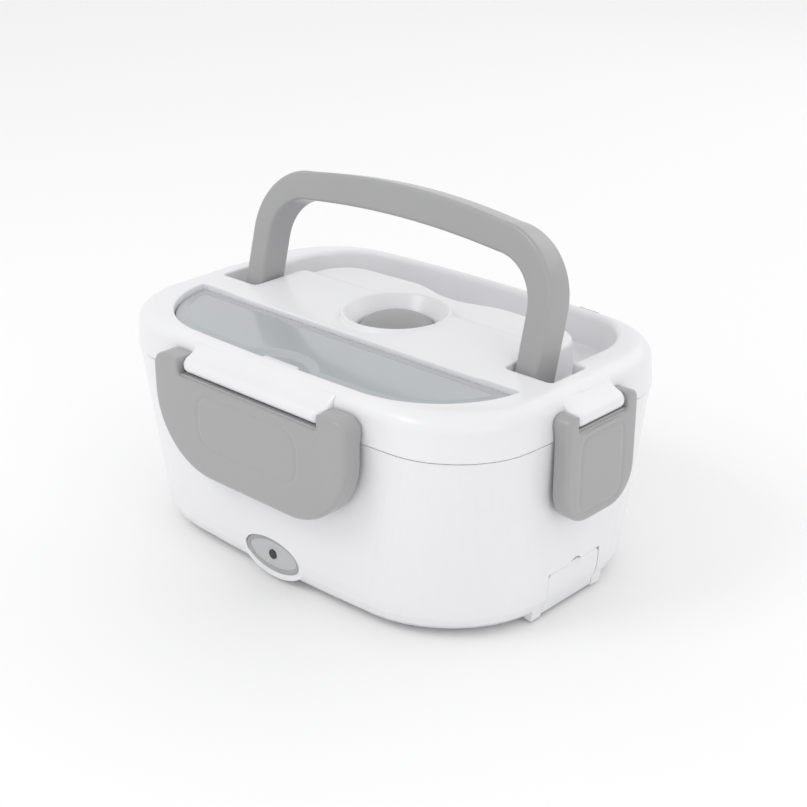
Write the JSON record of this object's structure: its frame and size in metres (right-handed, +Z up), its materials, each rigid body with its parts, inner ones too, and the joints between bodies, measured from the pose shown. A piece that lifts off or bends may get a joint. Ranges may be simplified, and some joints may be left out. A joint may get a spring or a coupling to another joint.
{
  "type": "electric lunch box",
  "caption": "Oval electric lunch box with a lift-off lid on swinging side latches, a fold-down carrying handle, a covered spoon compartment and a heated well with lift-out containers.",
  "frame": {"origin": "on the table, under the middle of the box", "axes": "+Z up, +X toward the end with the cord socket, -Y toward the side with the lamp"},
  "size_m": [0.254, 0.182, 0.1719],
  "materials": {
    "white_plastic": "gloss",
    "grey_plastic": "semi-gloss",
    "smoke_plastic": "translucent gloss",
    "aluminium": "satin",
    "ceramic": "matte",
    "spring_steel": "satin",
    "black_screws": "satin",
    "dark_plastic": "matte",
    "wire": "satin",
    "rubber": "matte",
    "brass_pins": "polished",
    "lamp_window": "gloss",
    "board": "satin",
    "tray_plastic": "satin",
    "clear_lid": "translucent",
    "silicone": "matte"
  },
  "bodies": {
    "base": {"outer_shell": "white_plastic", "inner_liner": "white_plastic", "heating_plate": "aluminium", "ptc_heaters": "ceramic", "heater_clamp": "spring_steel", "clamp_screws": "black_screws", "thermostat": "dark_plastic", "thermal_fuse": "ceramic", "wire_leads": "wire", "bottom_cover": "white_plastic", "bottom_screws": "black_screws", "rubber_feet": "rubber", "power_inlet": "dark_plastic", "inlet_pins": "brass_pins", "flap_pin": "spring_steel", "lamp_bezel": "grey_plastic", "lamp_lens": "lamp_window", "lamp_board": "board"},
    "socket_door": {"socket_flap": "white_plastic"},
    "tray": {"main_tray": "tray_plastic"},
    "box": {"small_box": "tray_plastic"},
    "box_lid": {"small_box_lid": "clear_lid"},
    "lid": {"lid_cover": "white_plastic", "lid_inner": "white_plastic", "lid_gasket": "silicone"},
    "spoon_door": {"spoon_cover": "smoke_plastic"},
    "vent": {"vent_plug": "grey_plastic"},
    "carry_handle": {"handle": "grey_plastic"},
    "front_latch": {"latch_front": "grey_plastic"},
    "back_latch": {"latch_back": "grey_plastic"},
    "left_latch": {"latch_left": "grey_plastic"},
    "right_latch": {"latch_right": "grey_plastic"}
  },
  "joints": [
    {"name": "tray_lift", "type": "slide", "parent": "base", "child": "tray", "axis": [0, 0, 1], "range_m": [0, 0.075]},
    {"name": "box_lift", "type": "slide", "parent": "tray", "child": "box", "axis": [0, 0, 1], "range_m": [0, 0.06]},
    {"name": "box_lid_lift", "type": "slide", "parent": "box", "child": "box_lid", "axis": [0, 0, 1], "range_m": [0, 0.02]},
    {"name": "lid_lift", "type": "slide", "parent": "box_lid", "child": "lid", "axis": [0, 0, 1], "range_m": [0, 0.12]},
    {"name": "spoon_cover_hinge", "type": "hinge", "parent": "lid", "child": "spoon_door", "pos_m": [0, -0.0282, 0.106], "axis": [-1, 0, 0], "range_deg": [0, 95]},
    {"name": "vent_pull", "type": "slide", "parent": "lid", "child": "vent", "axis": [0, 0, 1], "range_m": [0, 0.007]},
    {"name": "handle_fold", "type": "hinge", "parent": "lid", "child": "carry_handle", "pos_m": [0, 0, 0.1], "axis": [-1, 0, 0], "range_deg": [-14.5, 75.5]},
    {"name": "front_latch_swing", "type": "hinge", "parent": "lid", "child": "front_latch", "pos_m": [0, -0.086, 0.0995], "axis": [-1, 0, 0], "range_deg": [0, 105]},
    {"name": "back_latch_swing", "type": "hinge", "parent": "lid", "child": "back_latch", "pos_m": [0, 0.086, 0.0995], "axis": [1, 0, 0], "range_deg": [0, 105]},
    {"name": "left_latch_swing", "type": "hinge", "parent": "lid", "child": "left_latch", "pos_m": [-0.1234, 0, 0.0995], "axis": [0, 1, 0], "range_deg": [0, 105]},
    {"name": "right_latch_swing", "type": "hinge", "parent": "lid", "child": "right_latch", "pos_m": [0.1234, 0, 0.0995], "axis": [0, -1, 0], "range_deg": [0, 105]},
    {"name": "socket_door_hinge", "type": "hinge", "parent": "base", "child": "socket_door", "pos_m": [0.11015, 0, 0.00299], "axis": [0, 1, 0], "range_deg": [0, 80]}
  ]
}
